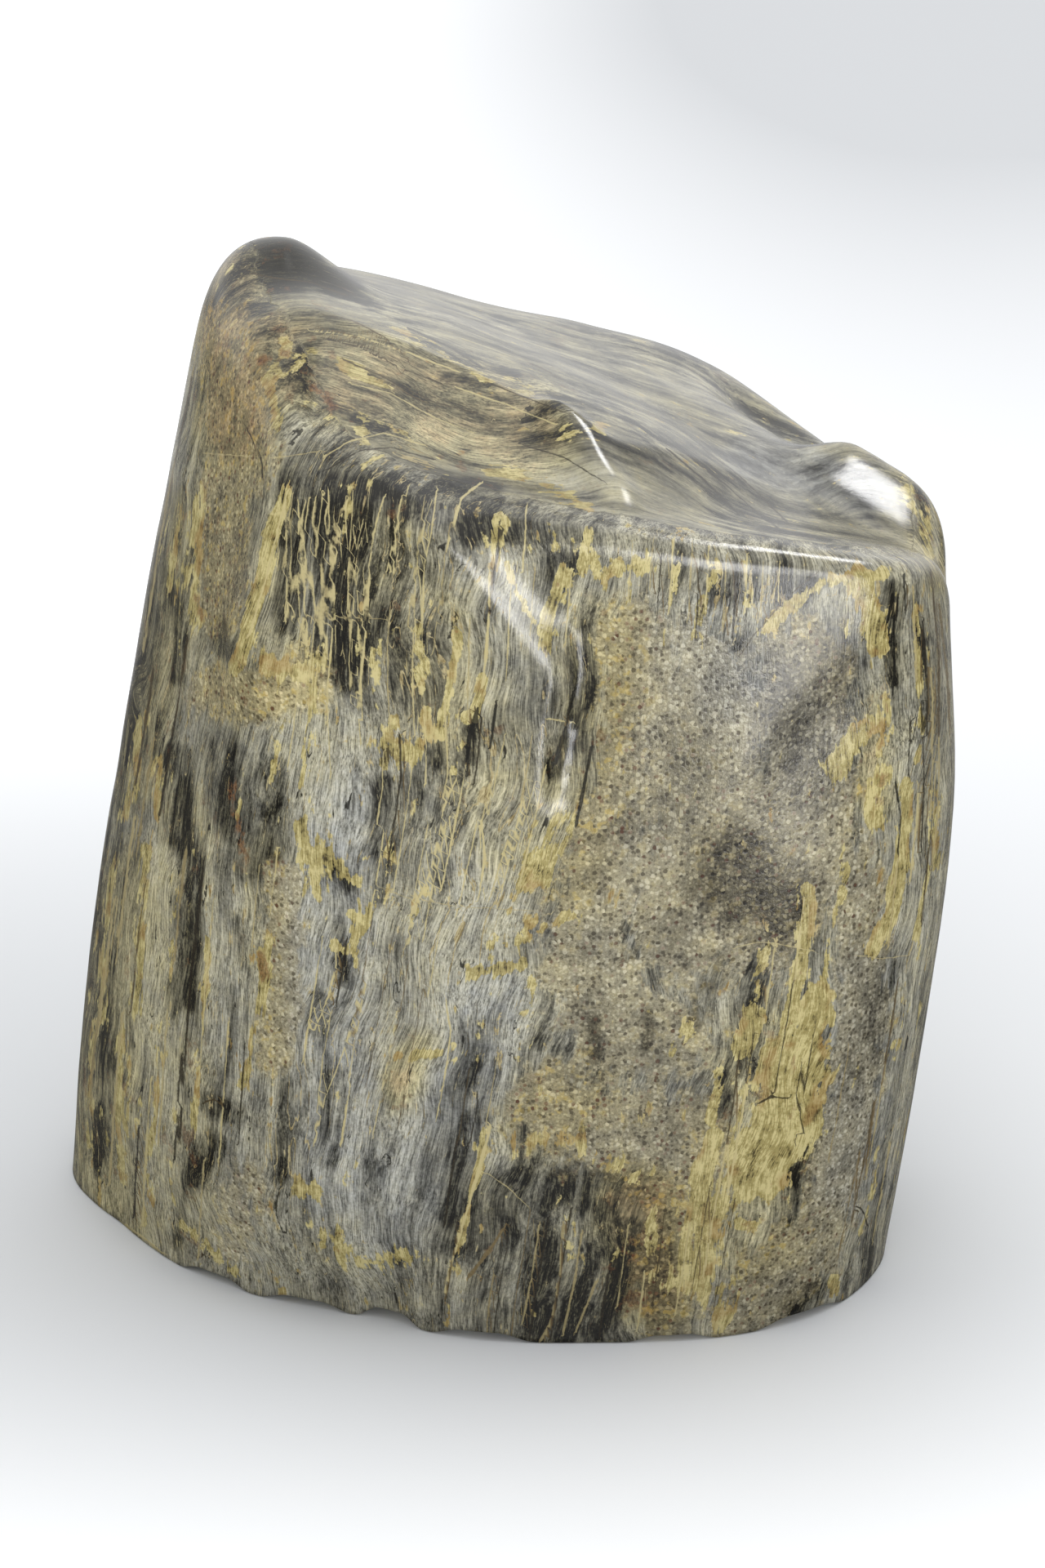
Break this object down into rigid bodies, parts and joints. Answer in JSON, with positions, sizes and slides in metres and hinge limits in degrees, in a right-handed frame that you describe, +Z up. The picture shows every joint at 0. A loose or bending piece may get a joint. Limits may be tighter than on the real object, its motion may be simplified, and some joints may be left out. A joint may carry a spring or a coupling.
{
  "type": "petrified wood stump",
  "caption": "Polished stump of petrified wood: an upright trunk with a sawn flat foot, a sloping carved top with a front shelf, a peak and a knob; a display piece or seat.",
  "frame": {"origin": "centre of the stump's bounding box in plan, on the plane of its flat foot", "axes": "+Z up along the trunk, -Y towards the front with the carved shelf, +X towards the low end of the top with the knob"},
  "size_m": [0.4158, 0.3458, 0.4638],
  "materials": {
    "polished_stone": "polished stone with grain: grey, charcoal, cream and ochre streaks along the trunk, and granular brown-grey areas"
  },
  "bodies": {
    "root": {"petrified_wood_stump": "polished_stone"}
  },
  "joints": []
}
